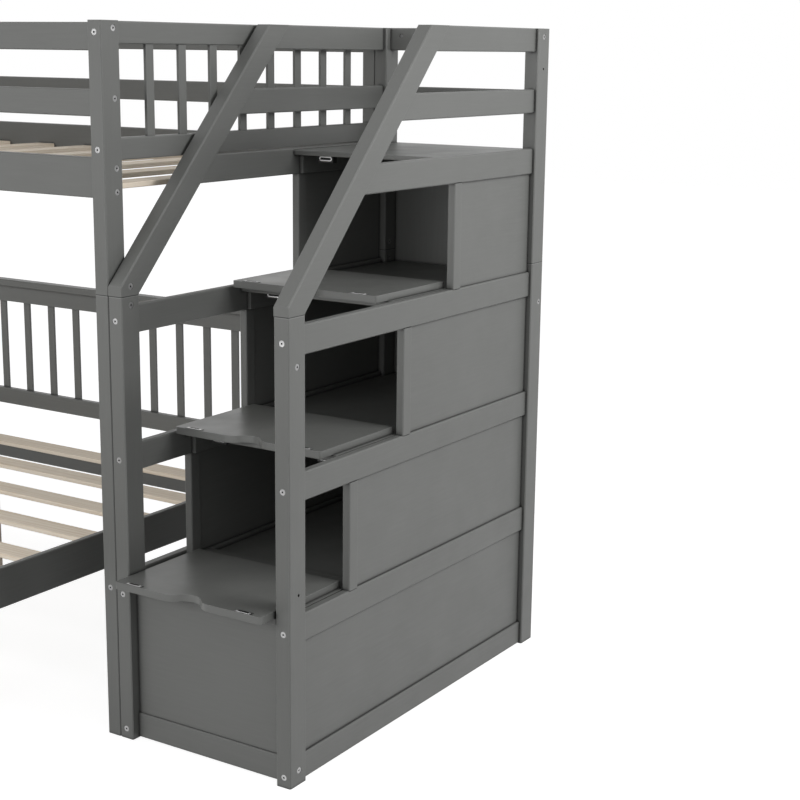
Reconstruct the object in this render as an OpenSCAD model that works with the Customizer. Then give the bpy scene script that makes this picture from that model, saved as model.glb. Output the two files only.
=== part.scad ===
// Bunk bed with a storage staircase: a high single bed, a low double bed set across under it,
// and a staircase at the right end whose risers are fall-flaps in front of three cubbies.
// Millimetres, +Z up. +X runs along the high bed towards the stairs, +Y runs from front to back.
// Sizes are first set out from the outer front corner of the right stair post. The last module,
// placed(), moves everything so that the origin is the centre of the footprint on the floor.

/* [High bed] */
// Outer length of the high bed
bunk_l = 2041; // [1900:1:2200]
// Outer depth of the high bed and of the staircase
bunk_d = 1088; // [1000:1:1200]
// Height of the bed posts
post_top = 1600; // [1560:1:1750]
// Width of a post across the front
post_w = 38; // [34:1:50]
// Depth of a post from front to back
post_d = 57; // [50:1:70]
// Height of the post joints above the third tread
post_joint = 22; // [14:1:60]
// Thickness of the long rails and end rails
rail_t = 22; // [18:1:26]
// How far the long rails stand behind the outer face of the posts
long_rail_set = 28; // [10:1:30]
// Underside of the side rails that carry the mattress
side_rail_z = 1225; // [1180:1:1230]
// Height of the side rails
side_rail_h = 87; // [70:1:110]
// Underside of the middle guard rail of the high bed
guard_mid_z = 1399; // [1380:1:1440]
// Height of the middle guard rail of the high bed
guard_mid_h = 57; // [40:1:70]
// Underside of the middle guard rails at the back
back_guard_z = 1393; // [1380:1:1400]
// Underside of the top guard rail of the high bed
guard_top_z = 1537; // [1520:1:1540]
// Height of the top guard rail of the high bed
guard_top_h = 59; // [40:1:60]
// Underside of the upper rail of the slatted ends
end_top_z = 1551; // [1535:1:1552]
// Height of the upper and lower rails of the slatted ends
end_rail_h = 48; // [40:1:49]
// Underside of the lower rail of the slatted ends
end_low_z = 1307; // [1290:1:1320]
// Underside of the stretcher between the posts below the bed
stretcher_z = 331; // [250:1:360]
// Number of upright slats in each end
end_slats_n = 8; // [4:1:9]
// Spacing of the upright slats in the ends
end_slat_pitch = 108.8; // [90:0.1:112]
// Width of the upright slats
upright_w = 24.5; // [20:0.5:36]
// Thickness of the upright slats
upright_t = 7; // [6:0.5:9]
// How far the upright slats stand outwards from the middle of their rails
upright_out = 5; // [0:0.5:5]
// How deep an upright slat sits in its mortise
tenon = 10; // [6:1:14]

/* [Mattress slats] */
// Width of a mattress slat
slat_w = 68; // [50:1:80]
// Thickness of a mattress slat
slat_t = 12; // [10:1:16]
// Number of mattress slats in the high bed
high_slats_n = 11; // [8:1:13]
// Number of mattress slats in the low bed
low_slats_n = 10; // [8:1:12]
// Height of the ledger under the high slats
high_ledger_h = 16; // [14:1:24]
// Width of the ledgers
ledger_w = 20; // [16:1:26]

/* [Back panel at the low bed] */
// Underside of the bottom rail of the back panel
back_low_z = 407; // [380:1:430]
// Height of the bottom rail of the back panel
back_low_h = 51; // [40:1:70]
// Underside of the top rail of the back panel
back_top_z = 745; // [700:1:800]
// Height of the top rail of the back panel
back_top_h = 48; // [40:1:70]
// Thickness of the cap board on the back panel
cap_t = 22; // [16:1:26]
// Depth of the cap board
cap_d = 38; // [30:1:44]
// Number of upright slats in the back panel
back_slats_n = 17; // [12:1:17]
// Spacing of the upright slats in the back panel
back_slat_pitch = 105.2; // [95:0.1:112]

/* [Low bed] */
// Outer width of the low bed
low_w = 1445; // [1400:1:1500]
// Outer length of the low bed
low_l = 2013; // [1950:1:2050]
// Height of the side rails above the floor
low_rail_z = 264; // [220:1:290]
// Height of the low bed's side rails
low_rail_h = 97; // [85:1:120]
// Thickness of the low bed's rails
low_rail_t = 16; // [14:1:22]
// How far the low rails stand behind the outer face of the legs
low_rail_set = 8; // [4:1:10]
// Top of the ledgers under the low slats
low_ledger_top = 303; // [300:1:320]
// Height of the ledgers in the low bed
low_ledger_h = 30; // [20:1:32]
// Gap between the head end and the first slat
low_first_slat = 42; // [40:1:60]
// Height of the rail between the head legs
head_rail_h = 68; // [50:1:90]
// Width of the middle legs under two of the slats
mid_leg_w = 57; // [40:1:60]

/* [Staircase] */
// Outer width of the staircase
stair_w = 484; // [440:1:560]
// Top of the first tread
first_tread = 378; // [340:1:380]
// Rise from tread to tread
rise = 310; // [300:1:310]
// Front face of the first stile behind the front posts
stile_y = 231; // [225:1:260]
// Run from tread to tread
run = 212.5; // [205:0.5:215]
// Thickness of the side frames
frame_t = 20; // [18:1:22]
// How far the side frames stand inside the outer face of the posts
frame_set = 8; // [5:1:9]
// Height of the frame rails under each tread
frame_rail_h = 63; // [50:1:70]
// Height of the frame rails at the floor
base_rail_h = 59; // [50:1:90]
// Gap between the floor and the lowest rails
floor_gap = 1; // [1:1:10]
// Width of the stiles beside the cubbies
stile_w = 32; // [28:1:40]
// Thickness of the side panels, the riser panel and the back panel
panel_t = 5; // [4:1:8]
// How deep a panel sits in the groove of its frame
groove = 6; // [4:1:10]
// Thickness of the treads
tread_t = 16; // [14:1:17]
// Thickness of the landing board, which lies a little lower than the rails beside it
landing_t = 12; // [10:1:14]
// Front to back depth of a tread behind the face of its stile
tread_behind = 70; // [55:1:120]
// How far a tread comes forward of the stile below it
nosing = 20; // [10:1:30]
// Front face of the fixed riser behind the front posts
riser_set = 21; // [15:1:25]
// Thickness of the cleats that carry the treads
cleat_t = 10; // [8:1:10]
// How far the cleats start behind the front edge of their tread
cleat_in = 25; // [15:1:60]
// Height of the cleats
cleat_h = 46; // [30:1:48]
// Front to back distance from the back faces of the posts to the rear guard rails
rear_set = 18; // [12:1:24]
// Underside of the rear middle rail
rear_mid_z = 894; // [880:1:920]
// Height of the rear rails
rear_rail_h = 48; // [40:1:60]

/* [Handrails and guards] */
// Rise of the handrail for each unit of run
rail_slope = 1.05; // [1:0.01:1.1]
// Width of the handrail boards
handrail_w = 57; // [50:1:65]
// Height of the upright front edge at the foot of the handrail
handrail_nose = 23; // [15:1:30]
// Underside of the middle guard rail beside the landing
landing_mid_z = 1395; // [1380:1:1420]
// Height of the middle guard rail beside the landing
landing_mid_h = 58; // [45:1:70]
// Height of the top guard rail beside the landing
landing_top_h = 57; // [45:1:70]

/* [Flaps] */
// Width of a flap
flap_w = 404; // [380:1:406]
// Gap between a closed flap and the board above it
flap_clear = 1.7; // [1:0.1:30]
// Thickness of a flap
flap_t = 16; // [14:1:16]
// How far the back edge of an open flap lies behind the face of the stile
flap_set = 8; // [2:1:12]
// Corner radius at the free edge
flap_r = 6; // [3:1:20]
// Depth of the finger scoop in the free edge
scoop_d = 29; // [15:1:35]
// Width of the finger scoop
scoop_w = 122; // [100:1:140]
// Thickness of the hinge leaves
leaf_t = 1.5; // [1:0.1:2]
// Width of a hinge
hinge_w = 60; // [40:1:80]
// Distance from the side of the flap to its hinges
hinge_in = 45; // [30:1:70]
// Radius of the hinge knuckles
knuckle_r = 2.5; // [2.4:0.1:2.7]
// Radius of the hinge pins
pin_r = 1.2; // [1:0.1:1.4]
// Clearance between a hinge pin and its knuckles
pin_gap = 0.05; // [0.02:0.01:0.09]
// Length of a strike plate
plate_l = 45; // [30:1:60]
// Width of a strike plate
plate_w = 11; // [10:1:16]
// Thickness of a strike plate
plate_t = 1.2; // [1:0.1:1.5]

/* [Bolts] */
// Radius of a bolt head
head_r = 7; // [6:0.5:8]
// Thickness of a bolt head
head_t = 2; // [1.5:0.1:2.5]
// Radius of a bolt shank
shank_r = 3; // [2.5:0.1:3.5]
// Length of the shank beyond the post
bolt_bite = 42; // [36:1:60]
// Radius of a barrel nut
nut_r = 5; // [4.5:0.1:6]
// Length of a barrel nut
nut_l = 13; // [10:1:13]
// Distance from the end of a rail to its barrel nut
nut_in = 32; // [25:1:34]
// Clearance round a bolt or a nut in the wood
bolt_gap = 0.3; // [0.2:0.1:0.5]
// Small clearance between pieces that are slid into place
fit = 0.5; // [0.3:0.1:1]
// Size of the eased edges on posts and rails
ease = 2.5; // [1:0.5:4]

/* [Hidden] */
$fn = 48;

PAINT = [0.42, 0.43, 0.43];
PINE = [0.76, 0.67, 0.56];
ZINC = [0.78, 0.79, 0.8];

// Main lines of the high bed
bunk_x1 = -stair_w;
bunk_x0 = bunk_x1 - bunk_l;
bunk_cx = (bunk_x0 + bunk_x1) / 2;
post_xs = [bunk_x1 - post_w, bunk_x0];
back_y = bunk_d - post_d;
long_front_y = long_rail_set;
long_back_y = bunk_d - long_rail_set - rail_t;
end_in = (post_w - rail_t) / 2;
end_xs = [bunk_x1 - post_w + end_in, bunk_x0 + end_in];
long_x0 = bunk_x0 + post_w;
long_x1 = bunk_x1 - post_w;
back_cap_z = back_top_z + back_top_h;

// Main lines of the low bed
low_x1 = bunk_cx + low_w / 2;
low_x0 = bunk_cx - low_w / 2;
low_y1 = long_back_y;
low_y0 = low_y1 - low_l;
leg_w = post_w;
low_top = low_rail_z + low_rail_h;
head_leg_top = back_low_z + back_low_h;
low_in_x1 = low_x1 - low_rail_set - low_rail_t;
low_in_x0 = low_x0 + low_rail_set + low_rail_t;
low_last_slat = low_first_slat + 42;
low_slat_pitch = (low_l - low_first_slat - low_last_slat - slat_w) / (low_slats_n - 1);

// Main lines of the staircase
stair_in_x1 = -post_w;
stair_in_x0 = -stair_w + post_w;
frame_x1 = -frame_set - frame_t;
frame_x0 = -stair_w + frame_set;
inner_x1 = frame_x1;
inner_x0 = frame_x0 + frame_t;
tread_z = [for (i = [0:3]) first_tread + i * rise];
stiles = [for (i = [0:2]) stile_y + i * run];
tread_front = [2, stiles[0] - nosing, stiles[1] - nosing, stiles[2] - nosing];
landing_z = tread_z[3];
post_split = tread_z[2] + post_joint;
rear_y = bunk_d - rear_set - frame_t;
rear_panel_y = bunk_d - panel_t;
rear_rail_y = rear_panel_y - frame_t;
tread_back = rear_panel_y - fit;
rear_top_z = landing_z - tread_t - rear_rail_h;
slope_angle = atan(rail_slope);
function rail_front_y(z) = (z - post_split - handrail_nose) / rail_slope;
function rail_back_y(z) = rail_front_y(z) + handrail_w / sin(slope_angle);

// Main lines of the flaps
flap_x0 = -stair_w / 2 - flap_w / 2;
flap_lift = 0.3;
hinge_up = knuckle_r + flap_lift;
flap_l = rise - tread_t - hinge_up - knuckle_r - flap_clear;
hinge_y = [for (s = stiles) s + flap_set + knuckle_r];
hinge_xs = [flap_x0 + hinge_in, flap_x0 + flap_w - hinge_in - hinge_w];
plate_side = 28;
plate_xs = [flap_x0 + plate_side, flap_x0 + flap_w - plate_side - plate_l];

// Places of the bolts: head centre, direction, length through the first piece,
// and the side from which the barrel nut is put in
POS_X = 0;
NEG_X = 1;
POS_Y = 2;
NEG_Y = 3;
side_bolt_z = [floor_gap + 22, for (i = [0:2]) tread_z[i] - frame_rail_h / 2];
right_cx = frame_x1 + frame_t / 2;
left_cx = frame_x0 + frame_t / 2;
stair_cx = [right_cx, left_cx];
inward = [NEG_X, POS_X];
end_cx = [for (x = end_xs) x + rail_t / 2];
end_bolt_z = [stretcher_z + 24, end_low_z + end_rail_h / 2, end_top_z + end_rail_h / 2];
function long_bolt_z(mid_z) = [side_rail_z + 15, side_rail_z + side_rail_h - 21,
  mid_z + guard_mid_h - 18, guard_top_z + guard_top_h - 12];
long_cy = [long_front_y + rail_t / 2, long_back_y + rail_t / 2];
panel_bolt_z = [back_low_z + back_low_h / 2, back_top_z + back_top_h / 2];
guard_bolt_z = [landing_z - frame_rail_h / 2, landing_mid_z + landing_mid_h / 2,
  post_top - landing_top_h / 2];
rear_cy = rear_y + frame_t / 2;
rear_rail_cy = rear_rail_y + frame_t / 2;
riser_cy = riser_set + frame_t / 2;
base_z = floor_gap + 32;

BOLTS_SIDE_FRONT = [for (i = [0, 1]) for (z = side_bolt_z)
  [[stair_cx[i], 0, z], POS_Y, post_d, NEG_X, frame_t]];
BOLTS_SIDE_BACK = [for (i = [0, 1]) for (z = side_bolt_z)
  [[stair_cx[i], bunk_d, z], NEG_Y, post_d, NEG_X, frame_t]];
BOLTS_SIDE_TOP = [for (i = [0, 1]) for (z = guard_bolt_z)
  [[stair_cx[i], bunk_d, z], NEG_Y, post_d, NEG_X, frame_t]];
BOLTS_END_FRONT = [for (i = [0, 1]) for (z = end_bolt_z)
  [[end_cx[i], 0, z], POS_Y, post_d, inward[i], rail_t]];
BOLTS_END_BACK = [for (i = [0, 1]) for (z = end_bolt_z)
  [[end_cx[i], bunk_d, z], NEG_Y, post_d, inward[i], rail_t]];
BOLTS_LONG_FRONT = [for (i = [0, 1]) for (z = long_bolt_z(guard_mid_z))
  [[[bunk_x1, bunk_x0][i], long_cy[0], z], inward[i], post_w, POS_Y, rail_t]];
BOLTS_LONG_BACK = [for (i = [0, 1]) for (z = long_bolt_z(back_guard_z))
  [[[bunk_x1, bunk_x0][i], long_cy[1], z], inward[i], post_w, NEG_Y, rail_t]];
BOLTS_PANEL = [for (i = [0, 1]) for (z = panel_bolt_z)
  [[[bunk_x1, bunk_x0][i], long_cy[1], z], inward[i], post_w, NEG_Y, rail_t]];
BOLTS_RISER = [for (i = [0, 1])
  [[[0, -stair_w][i], riser_cy, base_z], inward[i], post_w, POS_Y, frame_t]];
BOLTS_REAR = [for (i = [0, 1])
  [[[0, -stair_w][i], rear_rail_cy, rear_mid_z + rear_rail_h / 2], inward[i], post_w, NEG_Y,
    frame_t]];
BOLTS_REAR_TOP = [for (i = [0, 1])
  [[[0, -stair_w][i], rear_cy, post_top - 20], inward[i], post_w, NEG_Y, frame_t]];
low_side_cx = [low_x1 - low_rail_set - low_rail_t / 2, low_x0 + low_rail_set + low_rail_t / 2];
low_bolt_z = [low_rail_z + 26, low_rail_z + low_rail_h - 26];
BOLTS_LOW_FOOT = [for (i = [0, 1]) for (z = low_bolt_z)
  [[low_side_cx[i], low_y0, z], POS_Y, leg_w, inward[i], low_rail_t]];
BOLTS_LOW_HEAD = [for (i = [0, 1]) for (z = low_bolt_z)
  [[low_side_cx[i], low_y1, z], NEG_Y, leg_w, inward[i], low_rail_t]];
foot_cy = low_y0 + low_rail_set + low_rail_t / 2;
head_cy = low_y1 - low_rail_set - low_rail_t / 2;
BOLTS_FOOT_RAIL = [for (i = [0, 1])
  [[[low_x1, low_x0][i], foot_cy, low_rail_z + 48], inward[i], post_d, POS_Y, low_rail_t]];
BOLTS_HEAD_RAIL = [for (i = [0, 1])
  [[[low_x1, low_x0][i], head_cy, low_ledger_top - 48], inward[i], post_d, NEG_Y, low_rail_t]];
// Bolts that join the staircase to the high bed, and the low bed to the back panel
BOLTS_PAIR = [for (p = [[31, post_split - 20], [45, 200], [bunk_d - 35, post_split - 20],
  [bunk_d - 45, 200]])
  [[stair_in_x0, p[0], p[1]], NEG_X, post_w, POS_Y, 0]];
BOLTS_PAIR_TOP = [for (p = [[31, post_split + 21], [bunk_d - 35, post_split + 21]])
  [[stair_in_x0, p[0], p[1]], NEG_X, post_w, POS_Y, 0]];
BOLTS_LOW_JOIN = [for (x = [low_x1 - 28, low_x0 + 28])
  [[x, low_y1 + rail_t, back_low_z + back_low_h / 2], NEG_Y, rail_t, POS_X, 0]];
// Spare bolt in the right front post, the mirror image of the one that joins the left one
BOLTS_SPARE = [[[0, 29, tread_z[2] - 82], NEG_X, 0, POS_Y, 0]];
ALL_NUT_BOLTS = concat(BOLTS_SIDE_FRONT, BOLTS_SIDE_BACK, BOLTS_SIDE_TOP, BOLTS_END_FRONT,
  BOLTS_END_BACK, BOLTS_LONG_FRONT, BOLTS_LONG_BACK, BOLTS_PANEL, BOLTS_RISER, BOLTS_REAR,
  BOLTS_REAR_TOP, BOLTS_LOW_FOOT, BOLTS_LOW_HEAD, BOLTS_FOOT_RAIL, BOLTS_HEAD_RAIL);
SCREW_BOLTS = concat(BOLTS_PAIR, BOLTS_PAIR_TOP, BOLTS_LOW_JOIN, BOLTS_SPARE);
screw_bite = 24;

// The origin is the middle of the footprint, on the floor
origin = [bunk_x0 / 2, (low_y0 + bunk_d) / 2, 0];
module placed() {
  translate(-origin)
    children();
}

// Boards with eased long edges, given by their two corners
function eased(w, h, e) = [[e, 0], [w - e, 0], [w, e], [w, h - e], [w - e, h], [e, h], [0, h - e],
  [0, e]];
module bar_z(x0, x1, y0, y1, z0, z1, e = ease) {
  translate([x0, y0, z0])
    linear_extrude(z1 - z0)
      polygon(eased(x1 - x0, y1 - y0, e));
}
module bar_x(x0, x1, y0, y1, z0, z1, e = ease) {
  translate([x0, y0, z0])
    rotate([90, 0, 90])
      linear_extrude(x1 - x0)
        polygon(eased(y1 - y0, z1 - z0, e));
}
module bar_y(x0, x1, y0, y1, z0, z1, e = ease) {
  translate([x0, y1, z0])
    rotate([90, 0, 0])
      linear_extrude(y1 - y0)
        polygon(eased(x1 - x0, z1 - z0, e));
}
module block(x0, x1, y0, y1, z0, z1) {
  translate([x0, y0, z0])
    cube([x1 - x0, y1 - y0, z1 - z0]);
}

// Turns +Z to the direction of a bolt
module aim(dir) {
  turn = [[0, 90, 0], [0, -90, 0], [-90, 0, 0], [90, 0, 0]];
  rotate(turn[dir])
    children();
}
// Room for each bolt: the sunk head and the shank
head_sink = 0.4;
module bolt_holes(list, bite = bolt_bite) {
  for (b = list)
    translate(b[0])
      aim(b[1]) {
        translate([0, 0, -1])
          cylinder(r = head_r + bolt_gap, h = 1 + head_sink + head_t);
        cylinder(r = shank_r + bolt_gap, h = b[2] + bite + 1);
      }
}
function step(dir) = [[1, 0, 0], [-1, 0, 0], [0, 1, 0], [0, -1, 0]][dir];
nut_past = 5;
function nut_place(b) = b[0] + step(b[1]) * (b[2] + nut_in) - step(b[3]) * nut_past;
// Room for each barrel nut, open on the inner side of the rail
module nut_holes(list) {
  for (b = list)
    translate(nut_place(b) - step(b[3]) * fit)
      aim(b[3])
        cylinder(r = nut_r + bolt_gap, h = nut_past + fit + b[4] / 2 + 1);
}
module rail_holes(list) {
  bolt_holes(list);
  nut_holes(list);
}

// A post of the high bed or the staircase, from z0 to z1
module post(x0, y0, z0, z1) {
  bar_z(x0, x0 + post_w, y0, y0 + post_d, z0, z1);
}
dowel_r = 5;
dowel_l = 60;
dowel_gap = 0.1;
dowel_apart = 16;
peg_l = 28;
peg_places = [[rear_cy, back_guard_z + 12], [rear_cy, back_guard_z + landing_mid_h - 12],
  [rear_rail_cy, rear_top_z + 12], [rear_rail_cy, rear_top_z + rear_rail_h - 12],
  [rear_rail_cy, floor_gap + 18], [rear_rail_cy, floor_gap + base_rail_h - 18]];
bunk_post_places = [for (x = post_xs) for (y = [0, back_y]) [x, y]];
stair_back_places = [for (x = [-post_w, -stair_w]) [x, back_y]];
stair_front_places = [for (x = [-post_w, -stair_w]) [x, 0]];
// Two dowels join the two lengths of a post, and one joins a handrail to its front post
function dowel_pair(places) = [for (p = places) for (s = [-1, 1])
  [p[0] + post_w / 2, p[1] + post_d / 2 + s * dowel_apart]];
function dowel_one(places) = [for (p = places)
  [p[0] + post_w / 2, p[1] + post_d / 2 + dowel_apart]];
module dowel_at(list, r, extra = 0) {
  for (p = list)
    translate([p[0], p[1], post_split - dowel_l / 2 - extra])
      cylinder(r = r, h = dowel_l + 2 * extra);
}
// Pegs that join the middle rear guard and the rear rails to the back posts
module peg_at(r, extra = 0) {
  for (x = [stair_in_x1, stair_in_x0])
    for (p = peg_places)
      translate([x - peg_l / 2 - extra, p[0], p[1]])
        aim(POS_X)
          cylinder(r = r, h = peg_l + 2 * extra);
}
bunk_bolts_low = concat(BOLTS_END_FRONT, BOLTS_END_BACK, BOLTS_PANEL);
bunk_bolts_high = concat(BOLTS_END_FRONT, BOLTS_END_BACK, BOLTS_LONG_FRONT, BOLTS_LONG_BACK);

module bunk_posts_lower() {
  color(PAINT)
    placed()
      difference() {
        for (p = bunk_post_places)
          post(p[0], p[1], 0, post_split);
        bolt_holes(bunk_bolts_low);
        bolt_holes(BOLTS_PAIR, screw_bite);
        dowel_at(dowel_pair(bunk_post_places), dowel_r + dowel_gap, fit);
      }
}

module bunk_posts_upper() {
  color(PAINT)
    placed()
      difference() {
        for (p = bunk_post_places)
          post(p[0], p[1], post_split, post_top);
        bolt_holes(bunk_bolts_high);
        bolt_holes(BOLTS_PAIR_TOP, screw_bite);
        dowel_at(dowel_pair(bunk_post_places), dowel_r + dowel_gap, fit);
      }
}

module post_dowels() {
  color(PINE)
    placed() {
      dowel_at(dowel_pair(concat(bunk_post_places, stair_back_places)), dowel_r);
      dowel_at(dowel_one(stair_front_places), dowel_r);
      peg_at(dowel_r);
    }
}

// Long rails of the high bed, front and back
module side_rails() {
  color(PAINT)
    placed()
      difference() {
        for (y = [long_front_y, long_back_y])
          bar_x(long_x0, long_x1, y, y + rail_t, side_rail_z, side_rail_z + side_rail_h);
        rail_holes(concat(BOLTS_LONG_FRONT, BOLTS_LONG_BACK));
      }
}

module bed_guard_rails() {
  color(PAINT)
    placed()
      difference() {
        for (g = [[long_front_y, guard_mid_z], [long_back_y, back_guard_z]]) {
          bar_x(long_x0, long_x1, g[0], g[0] + rail_t, g[1], g[1] + guard_mid_h);
          bar_x(long_x0, long_x1, g[0], g[0] + rail_t, guard_top_z, guard_top_z + guard_top_h);
        }
        rail_holes(concat(BOLTS_LONG_FRONT, BOLTS_LONG_BACK));
      }
}

high_in_y0 = long_front_y + rail_t;
high_in_y1 = long_back_y;
high_slat_z = side_rail_z + high_ledger_h;
module high_ledgers() {
  color(PINE)
    placed()
      for (y = [high_in_y0, high_in_y1 - ledger_w])
        block(long_x0, long_x1, y, y + ledger_w, side_rail_z, high_slat_z);
}

high_slat_end = 8;
high_slat_pitch = (long_x1 - long_x0 - 2 * high_slat_end - slat_w) / (high_slats_n - 1);
module high_slats() {
  color(PINE)
    placed()
      for (i = [0:high_slats_n - 1]) {
        x = long_x1 - high_slat_end - slat_w - i * high_slat_pitch;
        bar_y(x, x + slat_w, high_in_y0 + 2, high_in_y1 - 2, high_slat_z, high_slat_z + slat_t, 1.5);
      }
}

// Slatted ends of the high bed
end_slat_y0 = bunk_d / 2 - (end_slats_n - 1) * end_slat_pitch / 2 - upright_w / 2;
module end_slat_set() {
  for (e = [[end_xs[0], upright_out], [end_xs[1], -upright_out]])
    for (i = [0:end_slats_n - 1]) {
      x = e[0] + (rail_t - upright_t) / 2 + e[1];
      y = end_slat_y0 + i * end_slat_pitch;
      block(x, x + upright_t, y, y + upright_w, end_low_z + end_rail_h - tenon, end_top_z + tenon);
    }
}

module end_rails() {
  color(PAINT)
    placed()
      difference() {
        for (x = end_xs)
          for (z = [end_low_z, end_top_z])
            bar_y(x, x + rail_t, post_d, back_y, z, z + end_rail_h);
        rail_holes(concat(BOLTS_END_FRONT, BOLTS_END_BACK));
        end_slat_set();
      }
}

module end_slats() {
  color(PAINT)
    placed()
      end_slat_set();
}

module end_stretchers() {
  color(PAINT)
    placed()
      difference() {
        for (x = end_xs)
          bar_y(x, x + rail_t, post_d, back_y, stretcher_z, stretcher_z + end_rail_h);
        rail_holes(concat(BOLTS_END_FRONT, BOLTS_END_BACK));
      }
}

// Slatted back panel that stands between the back posts at the low bed
module back_slat_set() {
  y = long_back_y + (rail_t - upright_t) / 2 + upright_out;
  for (i = [0:back_slats_n - 1]) {
    x = bunk_cx + (i - (back_slats_n - 1) / 2) * back_slat_pitch - upright_w / 2;
    block(x, x + upright_w, y, y + upright_t, head_leg_top - tenon, back_top_z + tenon);
  }
}

module back_panel_rails() {
  color(PAINT)
    placed()
      difference() {
        union() {
          bar_x(long_x0, long_x1, long_back_y, long_back_y + rail_t, back_low_z, head_leg_top);
          bar_x(long_x0, long_x1, long_back_y, long_back_y + rail_t, back_top_z, back_cap_z, 0.5);
        }
        rail_holes(BOLTS_PANEL);
        bolt_holes(BOLTS_LOW_JOIN, screw_bite);
        back_slat_set();
      }
}

module back_panel_cap() {
  cap_y = long_back_y + rail_t / 2 - cap_d / 2;
  color(PAINT)
    placed()
      bar_x(long_x0, long_x1, cap_y, cap_y + cap_d, back_cap_z, back_cap_z + cap_t, 4);
}

module back_panel_slats() {
  color(PAINT)
    placed()
      back_slat_set();
}

// Low bed
module low_side_rails() {
  color(PAINT)
    placed()
      difference() {
        for (x = [low_in_x1, low_in_x0 - low_rail_t])
          bar_y(x, x + low_rail_t, low_y0 + leg_w, low_y1 - leg_w, low_rail_z, low_top, 2);
        rail_holes(concat(BOLTS_LOW_FOOT, BOLTS_LOW_HEAD));
      }
}

module low_ledgers() {
  color(PINE)
    placed()
      for (x = [low_in_x1 - ledger_w, low_in_x0])
        block(x, x + ledger_w, low_y0 + leg_w, low_y1 - leg_w, low_ledger_top - low_ledger_h,
          low_ledger_top);
}

function low_slat_y(i) = low_y1 - low_first_slat - slat_w - i * low_slat_pitch;
module low_slats() {
  color(PINE)
    placed()
      for (i = [0:low_slats_n - 1])
        bar_x(low_in_x0 + 2, low_in_x1 - 2, low_slat_y(i), low_slat_y(i) + slat_w, low_ledger_top,
          low_ledger_top + slat_t, 1.5);
}

// Middle legs, screwed under the third slat from each end
module low_middle_legs() {
  color(PINE)
    placed()
      for (i = [2, low_slats_n - 3])
        bar_z(bunk_cx - mid_leg_w / 2, bunk_cx + mid_leg_w / 2, low_slat_y(i) + slat_w - 45,
          low_slat_y(i) + slat_w - 7, 0, low_ledger_top, 1.5);
}

low_leg_xs = [low_x1 - post_d, low_x0];
module low_head_legs() {
  color(PAINT)
    placed()
      difference() {
        for (x = low_leg_xs)
          bar_z(x, x + post_d, low_y1 - leg_w, low_y1, 0, head_leg_top);
        bolt_holes(concat(BOLTS_LOW_HEAD, BOLTS_HEAD_RAIL));
        bolt_holes(BOLTS_LOW_JOIN, screw_bite);
      }
}

module low_foot_legs() {
  color(PAINT)
    placed()
      difference() {
        for (x = low_leg_xs)
          bar_z(x, x + post_d, low_y0, low_y0 + leg_w, 0, low_top);
        bolt_holes(concat(BOLTS_LOW_FOOT, BOLTS_FOOT_RAIL));
      }
}

module low_head_rail() {
  y = head_cy - low_rail_t / 2;
  color(PAINT)
    placed()
      difference() {
        bar_x(low_x0 + post_d, low_x1 - post_d, y, y + low_rail_t, low_ledger_top - head_rail_h,
          low_ledger_top, 2);
        rail_holes(BOLTS_HEAD_RAIL);
      }
}

module low_foot_rail() {
  y = foot_cy - low_rail_t / 2;
  color(PAINT)
    placed()
      difference() {
        bar_x(low_x0 + post_d, low_x1 - post_d, y, y + low_rail_t, low_rail_z, low_top, 2);
        rail_holes(BOLTS_FOOT_RAIL);
      }
}

// Posts of the staircase
module stair_front_posts() {
  color(PAINT)
    placed()
      difference() {
        for (x = [-post_w, -stair_w])
          post(x, 0, 0, post_split);
        bolt_holes(concat(BOLTS_SIDE_FRONT, BOLTS_RISER));
        bolt_holes(concat(BOLTS_PAIR, BOLTS_SPARE), screw_bite);
        spare_hole(31, tread_z[0] + 50, shank_r + bolt_gap);
        dowel_at(dowel_one(stair_front_places), dowel_r + dowel_gap, fit);
      }
}
// An open spare hole in the outer face of a right post
module spare_hole(y, z, r) {
  translate([0, y, z])
    aim(NEG_X)
      translate([0, 0, -1])
        cylinder(r = r, h = 21);
}

stair_back_bolts = concat(BOLTS_SIDE_BACK, BOLTS_REAR);
stair_top_bolts = concat(BOLTS_SIDE_TOP, BOLTS_REAR_TOP);
module stair_back_posts_lower() {
  color(PAINT)
    placed()
      difference() {
        for (p = stair_back_places)
          post(p[0], p[1], 0, post_split);
        bolt_holes(stair_back_bolts);
        bolt_holes(BOLTS_PAIR, screw_bite);
        dowel_at(dowel_pair(stair_back_places), dowel_r + dowel_gap, fit);
        peg_at(dowel_r + dowel_gap, fit);
      }
}

module stair_back_posts_upper() {
  color(PAINT)
    placed()
      difference() {
        for (p = stair_back_places)
          post(p[0], p[1], post_split, post_top);
        bolt_holes(stair_top_bolts);
        bolt_holes(BOLTS_PAIR_TOP, screw_bite);
        dowel_at(dowel_pair(stair_back_places), dowel_r + dowel_gap, fit);
        peg_at(dowel_r + dowel_gap, fit);
        spare_hole(rear_cy, landing_mid_z + landing_mid_h + 49, 3);
      }
}

// Side frames of the staircase. x0 is the lower x of the frame.
panel_in = 7;
module side_panel_set(panel_x, slack = 0) {
  level_z = [floor_gap + base_rail_h, tread_z[0], tread_z[1], tread_z[2]];
  front = [post_d, stiles[0] + stile_w - groove, stiles[1] + stile_w - groove,
    stiles[2] + stile_w - groove];
  for (i = [0:3])
    block(panel_x - slack, panel_x + panel_t + slack, front[i], back_y, level_z[i] - groove,
      tread_z[i] - frame_rail_h + groove);
}

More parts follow.
